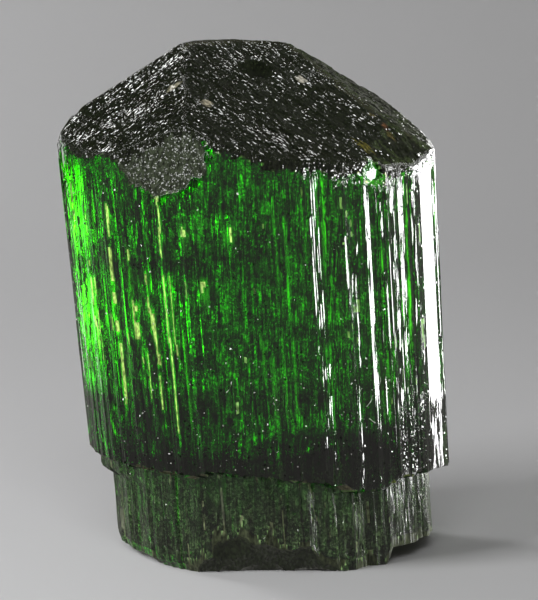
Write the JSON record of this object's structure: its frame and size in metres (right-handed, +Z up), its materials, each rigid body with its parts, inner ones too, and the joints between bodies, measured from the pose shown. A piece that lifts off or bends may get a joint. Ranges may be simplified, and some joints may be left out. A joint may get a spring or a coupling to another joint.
{
  "type": "elbaite tourmaline crystal",
  "caption": "Short striated prism with a low faceted dark termination, a ledge above its narrower stump, and a broken base that it stands on.",
  "frame": {"origin": "on the surface that the crystal stands on, under the middle of its bounding box", "axes": "+Z up from the broken base towards the termination; the side seen in the picture faces -Y; the crystal leans towards -X as it rises"},
  "size_m": [0.0232, 0.0222, 0.0301],
  "materials": {
    "green_tourmaline": "deep green clear crystal with glossy lengthwise striations, olive-black and rough on the termination, duller on the broken base"
  },
  "bodies": {
    "root": {"tourmaline_crystal": "green_tourmaline"}
  },
  "joints": []
}
